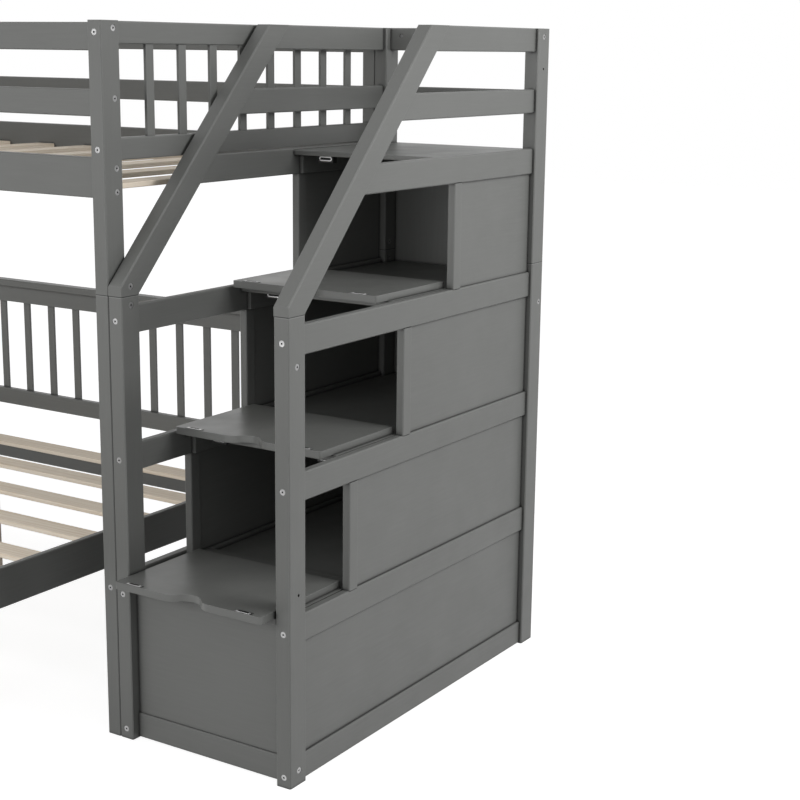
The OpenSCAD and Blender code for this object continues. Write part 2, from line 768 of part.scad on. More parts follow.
module side_rail_set(x0, panel_x) {
  difference() {
    union() {
      bar_y(x0, x0 + frame_t, post_d, back_y, floor_gap, floor_gap + base_rail_h);
      for (i = [0:2])
        bar_y(x0, x0 + frame_t, post_d, back_y, tread_z[i] - frame_rail_h, tread_z[i]);
      intersection() {
        bar_y(x0, x0 + frame_t, post_d, back_y, landing_z - frame_rail_h, landing_z);
        behind_handrail();
      }
    }
    rail_holes(concat(BOLTS_SIDE_FRONT, BOLTS_SIDE_BACK, BOLTS_SIDE_TOP));
    side_panel_set(panel_x);
  }
}

// Everything behind the back edge of the handrails
module behind_handrail() {
  far = 2 * stair_w;
  z0 = post_split;
  z1 = post_top + 10;
  translate([-far, 0, 0])
    rotate([90, 0, 90])
      linear_extrude(2 * far)
        polygon([[rail_back_y(z0), z0], [bunk_d, z0], [bunk_d, z1], [rail_back_y(z1), z1]]);
}

right_panel_x = -frame_set - panel_in - panel_t;
left_panel_x = -stair_w + frame_set + panel_in;

module stair_rails_right() {
  color(PAINT)
    placed()
      side_rail_set(frame_x1, right_panel_x);
}

module stair_rails_left() {
  color(PAINT)
    placed()
      side_rail_set(frame_x0, left_panel_x);
}

module stair_stiles() {
  color(PAINT)
    placed()
      difference() {
        for (x = [frame_x1, frame_x0])
          for (i = [0:2])
            bar_z(x, x + frame_t, stiles[i], stiles[i] + stile_w, tread_z[i],
              tread_z[i + 1] - frame_rail_h, 2);
        side_panel_set(right_panel_x);
        side_panel_set(left_panel_x);
      }
}

module stair_panels_right() {
  color(PAINT)
    placed()
      side_panel_set(right_panel_x);
}

module stair_panels_left() {
  color(PAINT)
    placed()
      side_panel_set(left_panel_x);
}

// A sloping handrail board: an eased bar turned to the slope of the stairs and cut level at its
// foot, which stands on the front post, and level with the post tops at its head
module handrail(x0) {
  reach = 2 * post_top;
  intersection() {
    translate([x0, 0, post_split + handrail_nose])
      rotate([slope_angle, 0, 0])
        bar_y(0, post_w, -reach / 4, reach, -handrail_w, 0);
    block(x0 - 1, x0 + post_w + 1, 0, bunk_d, post_split, post_top);
  }
}

module handrails() {
  color(PAINT)
    placed()
      difference() {
        for (x = [-post_w, -stair_w])
          handrail(x);
        bolt_holes(BOLTS_PAIR_TOP, screw_bite);
        dowel_at(dowel_one(stair_front_places), dowel_r + dowel_gap, fit);
      }
}

// Guard rails on both sides of the landing
module landing_guards() {
  color(PAINT)
    placed()
      difference() {
        for (x = [frame_x1, frame_x0])
          intersection() {
            union() {
              bar_y(x, x + frame_t, post_d, back_y, landing_mid_z, landing_mid_z + landing_mid_h);
              bar_y(x, x + frame_t, post_d, back_y, post_top - landing_top_h, post_top);
            }
            behind_handrail();
          }
        rail_holes(BOLTS_SIDE_TOP);
      }
}

module rear_guards() {
  color(PAINT)
    placed()
      difference() {
        union() {
          bar_x(stair_in_x0, stair_in_x1, rear_y, rear_y + frame_t, back_guard_z,
            back_guard_z + landing_mid_h);
          bar_x(stair_in_x0, stair_in_x1, rear_y, rear_y + frame_t, post_top - landing_top_h,
            post_top);
        }
        rail_holes(BOLTS_REAR_TOP);
        peg_at(dowel_r + dowel_gap, fit);
      }
}

module rear_rails() {
  color(PAINT)
    placed()
      difference() {
        union() {
          bar_x(stair_in_x0, stair_in_x1, rear_rail_y, rear_panel_y, floor_gap,
            floor_gap + base_rail_h, 1);
          bar_x(stair_in_x0, stair_in_x1, rear_rail_y, rear_panel_y, rear_mid_z,
            rear_mid_z + rear_rail_h, 1);
          bar_x(stair_in_x0, stair_in_x1, rear_rail_y, rear_panel_y, rear_top_z,
            rear_top_z + rear_rail_h, 1);
        }
        rail_holes(BOLTS_REAR);
        peg_at(dowel_r + dowel_gap, fit);
      }
}

// Thin back board, nailed to the back faces of the rear rails, flush with the posts
module rear_panel() {
  color(PAINT)
    placed()
      block(stair_in_x0, stair_in_x1, rear_panel_y, bunk_d, floor_gap, rear_top_z + rear_rail_h);
}

// Fixed riser below the first tread: a board up to the tread, with a batten behind its top
riser_top = first_tread - tread_t;
riser_top_h = 40;
riser_board_y = riser_set + 4;
batten_y = riser_board_y + panel_t;
module riser_rails() {
  color(PAINT)
    placed()
      difference() {
        union() {
          bar_x(stair_in_x0, stair_in_x1, riser_set, riser_set + frame_t, floor_gap,
            floor_gap + base_rail_h, 2);
          bar_x(stair_in_x0, stair_in_x1, batten_y, batten_y + frame_t,
            riser_top - riser_top_h, riser_top, 1);
        }
        rail_holes(BOLTS_RISER);
        riser_board();
      }
}

module riser_board() {
  block(stair_in_x0, stair_in_x1, riser_board_y, batten_y, floor_gap + base_rail_h - groove,
    riser_top);
}

module riser_panel() {
  color(PAINT)
    placed()
      riser_board();
}

// A board between the side frames, notched round the posts where it passes them
module stair_board(y0, y1, z0, z1, e) {
  x0 = inner_x0 + fit;
  x1 = inner_x1 - fit;
  notch = cleat_t + 1 + fit;
  difference() {
    bar_x(x0, x1, y0, y1, z0, z1, e);
    for (x = [x0 - 1, stair_in_x1 - fit]) {
      block(x, x + notch, back_y - fit, bunk_d, z0 - 1, z1 + 1);
      block(x, x + notch, -1, post_d + fit, z0 - 1, z1 + 1);
    }
  }
}
module tread(i) {
  stair_board(tread_front[i], stiles[i] + tread_behind, tread_z[i] - tread_t, tread_z[i], 2);
}

module tread_1() {
  color(PAINT)
    placed()
      tread(0);
}
module tread_2() {
  color(PAINT)
    placed()
      tread(1);
}
module tread_3() {
  color(PAINT)
    placed()
      tread(2);
}
module landing_board() {
  z = landing_z - tread_t;
  color(PAINT)
    placed()
      stair_board(tread_front[3], tread_back, z, z + landing_t, 2);
}

// Thin floors of the cubbies, behind the treads and on the same cleats
module cubby_floors() {
  color(PAINT)
    placed()
      for (i = [0:2])
        stair_board(stiles[i] + tread_behind, tread_back, tread_z[i] - tread_t,
          tread_z[i] - tread_t + panel_t, 0.5);
}

// Cleats on the inner faces of the side frames, under the treads, the floors and the landing
module tread_cleats() {
  front = [post_d, for (i = [1:3]) tread_front[i] + cleat_in];
  color(PAINT)
    placed()
      for (i = [0:3])
        for (x = [inner_x1 - cleat_t, inner_x0])
          bar_y(x, x + cleat_t, front[i], back_y, tread_z[i] - tread_t - cleat_h,
            tread_z[i] - tread_t, 1);
}

// A flap lies open on the tread. Its free edge has round corners and a finger scoop with
// soft shoulders: two small arcs lead into one wide arc.
scoop_r = (scoop_w * scoop_w / 16 + scoop_d * scoop_d / 4) / scoop_d;
module scoop_shape() {
  difference() {
    translate([-scoop_w / 2, -1])
      square([scoop_w, 1 + scoop_d / 2]);
    for (s = [-1, 1])
      translate([s * scoop_w / 2, scoop_r])
        circle(r = scoop_r, $fn = 96);
  }
  translate([0, scoop_d - scoop_r])
    circle(r = scoop_r, $fn = 96);
}

module flap_outline() {
  difference() {
    union() {
      translate([flap_r, 0])
        square([flap_w - 2 * flap_r, flap_l]);
      translate([0, flap_r])
        square([flap_w, flap_l - flap_r]);
      for (x = [flap_r, flap_w - flap_r])
        translate([x, flap_r])
          circle(r = flap_r);
    }
    translate([flap_w / 2, 0])
      scoop_shape();
  }
}

module flap(i) {
  z = tread_z[i] + flap_lift;
  difference() {
    translate([flap_x0, hinge_y[i] - knuckle_r - flap_l, z])
      linear_extrude(flap_t)
        flap_outline();
    for (x = hinge_xs)
      block(x - fit, x + hinge_w + fit, hinge_y[i] - knuckle_r - leaf_t, hinge_y[i], z - 1,
        z + flap_t + 1);
  }
}

module flap_1() {
  color(PAINT)
    placed()
      flap(0);
}
module flap_2() {
  color(PAINT)
    placed()
      flap(1);
}
module flap_3() {
  color(PAINT)
    placed()
      flap(2);
}

// Hinges: five knuckles on one pin, three on the fixed leaf and two on the flap's leaf
knuckles = 5;
knuckle_l = hinge_w / knuckles;
knuckle_slack = 0.3;
leaf_back = 25;
module knuckle_set(x, i, first) {
  for (k = [first:2:knuckles - 1])
    translate([x + k * knuckle_l + knuckle_slack / 2, hinge_y[i], tread_z[i] + hinge_up])
      aim(POS_X)
        cylinder(r = knuckle_r, h = knuckle_l - knuckle_slack);
}
module pin_bore(x, i) {
  translate([x - 1, hinge_y[i], tread_z[i] + hinge_up])
    aim(POS_X)
      cylinder(r = pin_r + pin_gap, h = hinge_w + 2);
}

module flap_leaf(x, i) {
  y = hinge_y[i] - knuckle_r - leaf_t;
  z = tread_z[i] + hinge_up;
  difference() {
    union() {
      block(x, x + hinge_w, y, y + leaf_t, tread_z[i] + flap_lift, z + flap_t - knuckle_r - 2);
      for (k = [1:2:knuckles - 1])
        block(x + k * knuckle_l + knuckle_slack / 2, x + (k + 1) * knuckle_l - knuckle_slack / 2,
          y, hinge_y[i] - pin_r - 0.6, z - leaf_t / 2, z + leaf_t / 2);
      knuckle_set(x, i, 1);
    }
    pin_bore(x, i);
  }
}

module fixed_leaf(x, i) {
  difference() {
    union() {
      block(x, x + hinge_w, hinge_y[i] + knuckle_r + fit, hinge_y[i] + leaf_back, tread_z[i],
        tread_z[i] + leaf_t);
      for (k = [0:2:knuckles - 1])
        block(x + k * knuckle_l + knuckle_slack / 2, x + (k + 1) * knuckle_l - knuckle_slack / 2,
          hinge_y[i], hinge_y[i] + knuckle_r + fit + 1, tread_z[i], tread_z[i] + leaf_t);
      knuckle_set(x, i, 0);
    }
    pin_bore(x, i);
  }
}

module leaf_pair(i) {
  color(ZINC)
    placed()
      for (x = hinge_xs)
        flap_leaf(x, i);
}
module flap_leaves_1() {
  leaf_pair(0);
}
module flap_leaves_2() {
  leaf_pair(1);
}
module flap_leaves_3() {
  leaf_pair(2);
}

module fixed_leaves() {
  color(ZINC)
    placed()
      for (i = [0:2])
        for (x = hinge_xs)
          fixed_leaf(x, i);
}

module hinge_pins() {
  color(ZINC)
    placed()
      for (i = [0:2])
        for (x = hinge_xs)
          translate([x, hinge_y[i], tread_z[i] + hinge_up])
            aim(POS_X)
              cylinder(r = pin_r, h = hinge_w);
}

// Slotted strike plates near the free edge of each flap, on the face that turns inwards
plate_in = 2;
module strike_plate(x, i) {
  y = hinge_y[i] - knuckle_r - flap_l + plate_in;
  z = tread_z[i] + flap_lift + flap_t;
  difference() {
    translate([x, y, z])
      linear_extrude(plate_t)
        difference() {
          square([plate_l, plate_w]);
          for (dx = [plate_l * 0.3, plate_l * 0.7])
            translate([dx, plate_w / 2])
              circle(r = 2);
        }
    translate([x + 5, y + plate_w / 2 - 1.2, z + plate_t / 2])
      cube([plate_l - 10, 2.4, plate_t]);
  }
}
module plate_pair(i) {
  color(ZINC)
    placed()
      for (x = plate_xs)
        strike_plate(x, i);
}
module strike_plates_1() {
  plate_pair(0);
}
module strike_plates_2() {
  plate_pair(1);
}
module strike_plates_3() {
  plate_pair(2);
}

// Magnetic catches under the board above each cubby, just behind the closed flap
catch_gap = 0.5;
catch_d = 16;
catch_rim = 4;
plate_up = hinge_up + knuckle_r + flap_l - plate_in - plate_w;
catch_h = rise - tread_t - plate_up + catch_rim;
module catches() {
  closed = flap_lift + flap_t - hinge_up + plate_t + catch_gap;
  color(ZINC)
    placed()
      for (i = [0:2])
        for (x = plate_xs)
          translate([x, hinge_y[i] + closed, tread_z[i + 1] - tread_t - catch_h])
            difference() {
              cube([plate_l, catch_d, catch_h]);
              translate([6, -1, catch_rim + 3])
                cube([plate_l - 12, 5, plate_w - 6]);
            }
}

// Bolts with sunk heads and hexagon sockets
module bolt(b, bite) {
  translate(b[0])
    aim(b[1])
      difference() {
        union() {
          translate([0, 0, head_sink])
            cylinder(r = head_r, h = head_t);
          translate([0, 0, head_sink])
            cylinder(r = shank_r, h = b[2] + bite - head_sink);
        }
        translate([0, 0, -1])
          cylinder(r = 2.3, h = 4 + head_sink, $fn = 6);
      }
}
module bolts() {
  color(ZINC)
    placed() {
      for (b = ALL_NUT_BOLTS)
        bolt(b, bolt_bite);
      for (b = SCREW_BOLTS)
        bolt(b, screw_bite);
    }
}

module barrel_nuts() {
  color(ZINC)
    placed()
      difference() {
        for (b = ALL_NUT_BOLTS)
          translate(nut_place(b))
            aim(b[3])
              cylinder(r = nut_r, h = nut_l);
        for (b = ALL_NUT_BOLTS)
          translate(b[0])
            aim(b[1])
              cylinder(r = shank_r + pin_gap, h = b[2] + bolt_bite + 2);
      }
}

bunk_posts_lower();
bunk_posts_upper();
post_dowels();
side_rails();
bed_guard_rails();
high_ledgers();
high_slats();
end_rails();
end_slats();
end_stretchers();
back_panel_rails();
back_panel_cap();
back_panel_slats();
low_side_rails();
low_ledgers();
low_slats();
low_middle_legs();
low_head_legs();
low_foot_legs();
low_head_rail();
low_foot_rail();
stair_front_posts();
stair_back_posts_lower();
stair_back_posts_upper();
stair_rails_right();
stair_rails_left();
stair_stiles();
stair_panels_right();
stair_panels_left();
handrails();
landing_guards();
rear_guards();
rear_rails();
rear_panel();
riser_rails();
riser_panel();
tread_1();
tread_2();
tread_3();
landing_board();
cubby_floors();
tread_cleats();
flap_1();
flap_2();
flap_3();
flap_leaves_1();
flap_leaves_2();
flap_leaves_3();
strike_plates_1();
strike_plates_2();
strike_plates_3();
fixed_leaves();
hinge_pins();
catches();
bolts();
barrel_nuts();
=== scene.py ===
import math

import bpy
from mathutils import Matrix, Vector


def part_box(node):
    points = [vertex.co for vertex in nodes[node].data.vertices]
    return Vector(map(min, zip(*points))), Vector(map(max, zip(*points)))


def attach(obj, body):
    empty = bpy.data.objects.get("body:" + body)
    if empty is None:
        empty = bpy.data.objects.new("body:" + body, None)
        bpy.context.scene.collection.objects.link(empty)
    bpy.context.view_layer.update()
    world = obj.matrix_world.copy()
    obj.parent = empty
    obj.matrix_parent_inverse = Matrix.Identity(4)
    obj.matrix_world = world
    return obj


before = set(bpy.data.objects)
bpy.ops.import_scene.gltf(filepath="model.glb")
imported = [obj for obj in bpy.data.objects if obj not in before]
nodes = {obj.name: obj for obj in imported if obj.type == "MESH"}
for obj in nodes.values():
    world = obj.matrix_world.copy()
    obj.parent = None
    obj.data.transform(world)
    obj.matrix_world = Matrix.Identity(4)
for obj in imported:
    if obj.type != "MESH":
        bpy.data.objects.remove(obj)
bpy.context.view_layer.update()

# Materials

# Textures are stretched along the grain, by the direction of the boards
GRAIN = {"x": (0.05, 1.0, 1.0), "y": (1.0, 0.05, 1.0), "z": (1.0, 1.0, 0.05)}
# How much further the pattern moves in y than in x and z, from one board to the next
BOARD_SHIFT = 7.3

# Radii of the rounded arrises, in metres
PAINT_ARRIS = 0.0014
PINE_ARRIS = 0.0012
SMALL_ARRIS = 0.0004

# How near a neighbour has to be to darken a joint or inner corner with painted shade, in metres
PAINT_CREASE = 0.009
METAL_CREASE = 0.005

# The paint in linear red, green and blue, and its tones as shares of that
PAINT = (0.142, 0.145, 0.139)
DARK_TONE = 0.90
LIGHT_TONE = 1.07
# The arrises' tone: a painted highlight, with some wear of the paint
EDGE_SHEEN_AND_WEAR_TONE = 1.9
SPECK_TONE = 0.6
# A painted highlight on the lower post's top edge, just under the post joint
LIP_HIGHLIGHT_TONE = 2.2
# Painted shade in the joints and inner corners, and the dark line of the post joint
JOINT_AND_SHADE_TONE = 0.12

# Height of the joint in the posts and half the width of its dark line, in metres
POST_JOINT = 1.020
LINE = 0.0006

# Colours in pine
PALE_WOOD = (0.93, 0.83, 0.70, 1.0)
LATE_WOOD = (0.70, 0.53, 0.36, 1.0)
FIBRE = (0.66, 0.53, 0.38, 1.0)
GREY_WOOD = (0.84, 0.78, 0.68, 1.0)
BROWN_WOOD = (0.72, 0.60, 0.46, 1.0)
KNOT = (0.26, 0.14, 0.07, 1.0)

# Painted shade in the joints and inner corners of metal
METAL_CREASE_SHADE = (0.03, 0.03, 0.03, 1.0)


class Tree:
    """Short ways to add and join shader nodes."""

    def __init__(self, name):
        self.mat = bpy.data.materials.new(name)
        self.mat.use_nodes = True
        self.t = self.mat.node_tree
        self.bsdf = self.t.nodes["Principled BSDF"]

    def add(self, kind, links=None, **values):
        n = self.t.nodes.new(kind)
        for key, value in values.items():
            setattr(n, key, value)
        for key, value in (links or {}).items():
            self.put(n.inputs[key], value)
        return n

    def put(self, socket, value):
        if isinstance(value, bpy.types.NodeSocket):
            self.t.links.new(value, socket)
        else:
            socket.default_value = value

    def surface(self, socket, value):
        self.put(self.bsdf.inputs[socket], value)

    def math(self, op, a, b=0.0):
        return self.add("ShaderNodeMath", {0: a, 1: b}, operation=op).outputs[0]

    def span(self, value, low, high, to_low=0.0, to_high=1.0, smooth=False):
        n = self.add(
            "ShaderNodeMapRange",
            {"Value": value, "From Min": low, "From Max": high, "To Min": to_low, "To Max": to_high},
            interpolation_type="SMOOTHSTEP" if smooth else "LINEAR",
        )
        return n.outputs["Result"]

    def noise(self, vector, scale, detail=3.0, rough=0.55, distortion=0.0):
        n = self.add("ShaderNodeTexNoise", {"Vector": vector, "Scale": scale, "Detail": detail})
        self.put(n.inputs["Roughness"], rough)
        self.put(n.inputs["Distortion"], distortion)
        return n.outputs["Fac"]

    def mix(self, fac, a, b):
        n = self.add("ShaderNodeMix", data_type="RGBA")
        self.put(n.inputs[0], fac)
        self.put(n.inputs[6], a)
        self.put(n.inputs[7], b)
        return n.outputs[2]

    def coords(self):
        """Metres in the object's own frame."""
        return self.add("ShaderNodeTexCoord").outputs["Object"]

    def board(self):
        """A number from 0 to 1, another for each board."""
        return self.add("ShaderNodeNewGeometry").outputs["Random Per Island"]

    def along(self, coords, board, stretch):
        """Coordinates moved from board to board, then stretched."""
        across = self.math("MULTIPLY", board, BOARD_SHIFT)
        shift = self.add("ShaderNodeCombineXYZ", {"X": board, "Y": across, "Z": board}).outputs[0]
        moved = self.add("ShaderNodeVectorMath", {0: coords, 1: shift}, operation="ADD").outputs[0]
        return self.scaled(moved, stretch)

    def scaled(self, vector, scale):
        return self.add("ShaderNodeMapping", {"Vector": vector, "Scale": scale}).outputs["Vector"]

    def rounding(self, radius):
        """The normal, turning over the arrises as if they were rounded."""
        return self.add("ShaderNodeBevel", {"Radius": radius}, samples=6).outputs[0]

    def edge(self, soft):
        """1 on the arrises, where the rounded normal turns, and 0 on flat faces."""
        true = self.add("ShaderNodeNewGeometry").outputs["Normal"]
        dot = self.add("ShaderNodeVectorMath", {0: soft, 1: true}, operation="DOT_PRODUCT")
        return self.span(dot.outputs["Value"], 1.0, 0.9)

    def crease(self, reach):
        """1 on open faces, falling to 0 in the joints and inner corners: the mask for painted shade there.
        """
        open_part = self.add("ShaderNodeAmbientOcclusion", {"Distance": reach}, samples=6).outputs["AO"]
        return self.span(open_part, 0.42, 0.90)

    def bump(self, height, strength, distance, normal):
        links = {"Height": height, "Strength": strength, "Distance": distance, "Normal": normal}
        return self.add("ShaderNodeBump", links).outputs[0]


def tone(color, share=1.0):
    """The colour times a share, with the alpha that a socket wants."""
    return (*[share * k for k in color], 1.0)


def painted(name, axis, color, rough, smooth=False, joint_height=None):
    """Satin paint, grained unless smooth, with painted shade in the joints and a painted highlight on worn
    arrises.
    """
    t = Tree(name)
    coords = t.coords()
    board = t.board()
    soft = t.rounding(PAINT_ARRIS)
    normal = soft
    c = tone(color)
    if not smooth:
        grain = t.noise(t.along(coords, board, GRAIN[axis]), 190.0, detail=4.0, rough=0.65, distortion=0.4)
        peel = t.noise(coords, 700.0, detail=1.0)
        height = t.math("ADD", t.math("MULTIPLY", grain, 0.6), t.math("MULTIPLY", peel, 0.4))
        normal = t.bump(height, 0.16, 0.0004, soft)
        c = t.mix(t.span(grain, 0.35, 0.7), tone(color, DARK_TONE), c)
    cloud = t.noise(coords, 3.0, detail=2.0)
    c = t.mix(t.span(cloud, 0.3, 0.75, 0.0, 0.55), c, tone(color, LIGHT_TONE))
    c = t.mix(t.math("MULTIPLY", board, 0.30), c, tone(color, DARK_TONE))
    # Painted highlight with some wear: the arrises lighter where the rounded normal turns
    c = t.mix(t.math("MULTIPLY", t.edge(soft), 0.45), c, tone(color, EDGE_SHEEN_AND_WEAR_TONE))
    if not smooth:
        specks = t.span(t.noise(coords, 520.0, detail=2.0), 0.70, 0.78, 0.0, 0.20)
        c = t.mix(specks, c, tone(color, SPECK_TONE))
    # Painted shade: darker where a neighbour is near, in the joints and inner corners
    shade_and_joint = t.crease(PAINT_CREASE)
    if joint_height is not None:
        z = t.add("ShaderNodeSeparateXYZ", {0: coords}).outputs["Z"]
        above = t.math("SUBTRACT", z, joint_height)
        shade_and_joint = t.math("MULTIPLY", shade_and_joint, t.span(t.math("ABSOLUTE", above), LINE, 2.2 * LINE))
        # Painted highlight: a pale band just below the joint, where the lower post's top edge catches the
        # light
        highlight_top = t.span(above, -1.2 * LINE, -2.2 * LINE)
        highlight_foot = t.span(above, -4.5 * LINE, -3.5 * LINE, 0.0, 0.5)
        c = t.mix(t.math("MULTIPLY", highlight_top, highlight_foot), c, tone(color, LIP_HIGHLIGHT_TONE))
    t.surface("Base Color", t.mix(shade_and_joint, tone(color, JOINT_AND_SHADE_TONE), c))
    t.surface("Roughness", t.span(t.noise(coords, 14.0), 0.3, 0.7, rough - 0.04, rough + 0.05))
    t.surface("Specular IOR Level", 0.42)
    t.surface("Normal", normal)
    return t.mat


def pine(name, axis):
    """Bare planed pine: growth rings along the board, streaks, and a knot here and there."""
    t = Tree(name)
    coords = t.coords()
    board = t.board()
    along = t.along(coords, board, GRAIN[axis])
    wave = {"Vector": t.scaled(along, (0.8, 0.8, 0.8)), "Scale": 26.0, "Distortion": 9.0}
    wave.update({"Detail": 3.0, "Detail Scale": 1.4, "Detail Roughness": 0.6})
    rings = t.add("ShaderNodeTexWave", wave, wave_type="RINGS", rings_direction=axis.upper()).outputs["Fac"]
    fibre = t.noise(along, 420.0, detail=5.0, rough=0.7)
    patches = t.noise(coords, 2.5, detail=2.0)
    oval = t.scaled(coords, tuple(0.45 if s < 1 else 1.0 for s in GRAIN[axis]))
    knots = t.add("ShaderNodeTexVoronoi", {"Vector": oval, "Scale": 5.5}).outputs["Distance"]
    c = t.mix(t.span(rings, 0.45, 1.0, 0.0, 0.45), PALE_WOOD, LATE_WOOD)
    c = t.mix(t.span(fibre, 0.5, 0.8, 0.0, 0.35), c, FIBRE)
    c = t.mix(t.span(patches, 0.35, 0.7, 0.0, 0.3), c, GREY_WOOD)
    c = t.mix(t.math("MULTIPLY", board, 0.25), c, BROWN_WOOD)
    c = t.mix(t.span(knots, 0.075, 0.03, 0.0, 0.8, smooth=True), c, KNOT)
    height = t.math("ADD", t.math("MULTIPLY", rings, 0.4), t.math("MULTIPLY", fibre, 0.6))
    t.surface("Base Color", c)
    t.surface("Roughness", t.span(fibre, 0.2, 0.8, 0.5, 0.72))
    t.surface("Specular IOR Level", 0.3)
    t.surface("Normal", t.bump(height, 0.3, 0.0004, t.rounding(PINE_ARRIS)))
    return t.mat


def zinc(name, low, high, rough):
    """Plated steel with fine scratches and a slight cloudiness, between a low and a high brightness."""
    t = Tree(name)
    coords = t.coords()
    cloud = t.noise(coords, 60.0)
    scratch = t.noise(t.along(coords, t.board(), (1.0, 0.08, 1.0)), 2600.0, detail=2.0, rough=0.6)
    c = t.mix(t.span(cloud, 0.3, 0.75), (low, low, 1.01 * low, 1.0), (high, high, 0.99 * high, 1.0))
    # Painted shade: near black where a neighbour is near, in the joints and inner corners
    t.surface("Base Color", t.mix(t.crease(METAL_CREASE), METAL_CREASE_SHADE, c))
    t.surface("Metallic", 1.0)
    t.surface("Roughness", t.span(cloud, 0.25, 0.75, rough - 0.07, rough + 0.09))
    t.surface("Normal", t.bump(scratch, 0.12, 0.0001, t.rounding(SMALL_ARRIS)))
    return t.mat


def plastic(name, level):
    """Moulded black plastic, fine grained and slightly dusty."""
    t = Tree(name)
    coords = t.coords()
    grain = t.noise(coords, 1500.0, detail=2.0)
    dust = t.noise(coords, 90.0)
    dusty = (2.2 * level, 2.2 * level, 2.1 * level, 1.0)
    t.surface("Base Color", t.mix(t.span(dust, 0.4, 0.8), (level, level, level, 1.0), dusty))
    t.surface("Roughness", t.span(dust, 0.3, 0.7, 0.42, 0.6))
    t.surface("Normal", t.bump(grain, 0.2, 0.0001, t.rounding(SMALL_ARRIS)))
    return t.mat


paint = {axis: painted("paint_" + axis, axis, PAINT, 0.42) for axis in "xyz"}
paint_post = painted("paint_post", "z", PAINT, 0.42, joint_height=POST_JOINT)
paint_handrail = painted("paint_handrail", "y", PAINT, 0.42, joint_height=POST_JOINT)
paint_flap = painted("paint_flap", "x", PAINT, 0.33, smooth=True)
bare = {axis: pine("pine_" + axis, axis) for axis in "xyz"}
plated = zinc("zinc", 0.30, 0.46, 0.36)
chrome = zinc("chrome", 0.88, 0.97, 0.46)
black = plastic("black_plastic", 0.012)

LOOK = {
    paint["x"]: """side_rails bed_guard_rails back_panel_rails back_panel_cap low_head_rail low_foot_rail
        rear_guards rear_rails riser_rails riser_panel tread_1 tread_2 tread_3 landing_board cubby_floors""",
    paint["y"]: """end_rails end_stretchers low_side_rails stair_rails_right stair_rails_left
        stair_panels_right stair_panels_left tread_cleats landing_guards""",
    paint["z"]: "end_slats back_panel_slats low_head_legs low_foot_legs stair_stiles rear_panel",
    paint_post: """bunk_posts_lower bunk_posts_upper stair_back_posts_lower stair_back_posts_upper
        stair_front_posts""",
    paint_handrail: "handrails",
    paint_flap: "flap_1 flap_2 flap_3",
    bare["x"]: "high_ledgers low_slats",
    bare["y"]: "high_slats low_ledgers",
    bare["z"]: "low_middle_legs post_dowels",
    plated: """flap_leaves_1 flap_leaves_2 flap_leaves_3 strike_plates_1 strike_plates_2 strike_plates_3
        fixed_leaves hinge_pins bolts barrel_nuts""",
    black: "catches",
}
for material, names in LOOK.items():
    for name in names.split():
        mesh = nodes[name].data
        mesh.materials.clear()
        mesh.materials.append(material)

# Small fittings on the flaps and catches, in metres

# Length and width of a strike plate
PLATE_L = 0.045
PLATE_W = 0.011
# How far a fitting stands above the surface and reaches into it
PROUD = 0.0002
SUNK = -0.0004
# Length and width of the black pad and of the bright lip on a plate, and their places across it
PAD = (0.026, 0.0068)
PAD_PLACE = 0.0006
LIP = (0.036, 0.0026)
LIP_PLACE = -0.0040
# Radius of their corners
CORNER = 0.0012
# Radius and sides of a screw head, the bottom of its drive, and its place along the plate
SCREW_R = 0.0025
SCREW_SIDES = 24
DRIVE_END = -0.0002
SCREW_PLACE = 0.0165
# Length and height of the ring on a catch, its corners, its wall, and its middle above the underside
RING = (0.0370, 0.0110)
RING_CORNER = 0.0048
RING_WALL = 0.0026
RING_UP = 0.0095


def build(name, verts, faces, material, body):
    """A new piece that rides on a body."""
    mesh = bpy.data.meshes.new(name)
    mesh.from_pydata(verts, [], faces)
    mesh.materials.append(material)
    mesh.update()
    obj = bpy.data.objects.new(name, mesh)
    bpy.context.scene.collection.objects.link(obj)
    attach(obj, body)


def rounded(w, h, r, steps=6):
    """Outline of a rectangle with round corners, about its middle."""
    out = []
    for cx, cy, start in ((1, 1, 0), (-1, 1, 90), (-1, -1, 180), (1, -1, 270)):
        for k in range(steps + 1):
            a = math.radians(start + 90 * k / steps)
            out.append((cx * (w / 2 - r) + r * math.cos(a), cy * (h / 2 - r) + r * math.sin(a)))
    return out


def circle(r):
    """Outline of a screw head, about its middle."""
    turns = [math.tau * k / SCREW_SIDES for k in range(SCREW_SIDES)]
    return [(r * math.cos(a), r * math.sin(a)) for a in turns]


def layers(place, outlines, loop=False):
    """Lofts outlines given as (points, height); place turns (u, v, height) into a point in the frame."""
    n = len(outlines[0][0])
    rows = len(outlines)
    verts = [place(u, v, z) for points, z in outlines for u, v in points]
    faces = []
    for k in range(rows if loop else rows - 1):
        up = (k + 1) % rows
        for i in range(n):
            j = (i + 1) % n
            faces.append((k * n + i, k * n + j, up * n + j, up * n + i))
    if not loop:
        faces.append(tuple(range(n))[::-1])
        faces.append(tuple((rows - 1) * n + i for i in range(n)))
    return verts, faces


def ring(name, place, w, h, r, wall, high, body):
    """A bright frame with a rounded top, round an opening."""
    profile = [(0.0, 0.0, SUNK), (0.0, 0.0, 0.6 * high), (0.2, 0.2, high), (0.8, 0.8, high)]
    profile += [(1.0, 0.99, 0.6 * high), (1.0, 0.99, SUNK)]
    outlines = []
    for inset, turned, z in profile:
        off = 2 * inset * wall
        outlines.append((rounded(w - off, h - off, r - turned * wall), z))
    build(name, *layers(place, outlines, loop=True), chrome, body)


def pad(name, place, w, h, r, high, material, body):
    """A thin plate with a rounded rim."""
    outlines = [(rounded(w, h, r), SUNK), (rounded(w, h, r), 0.5 * high)]
    outlines.append((rounded(w - high, h - high, r - 0.5 * high), high))
    build(name, *layers(place, outlines), material, body)


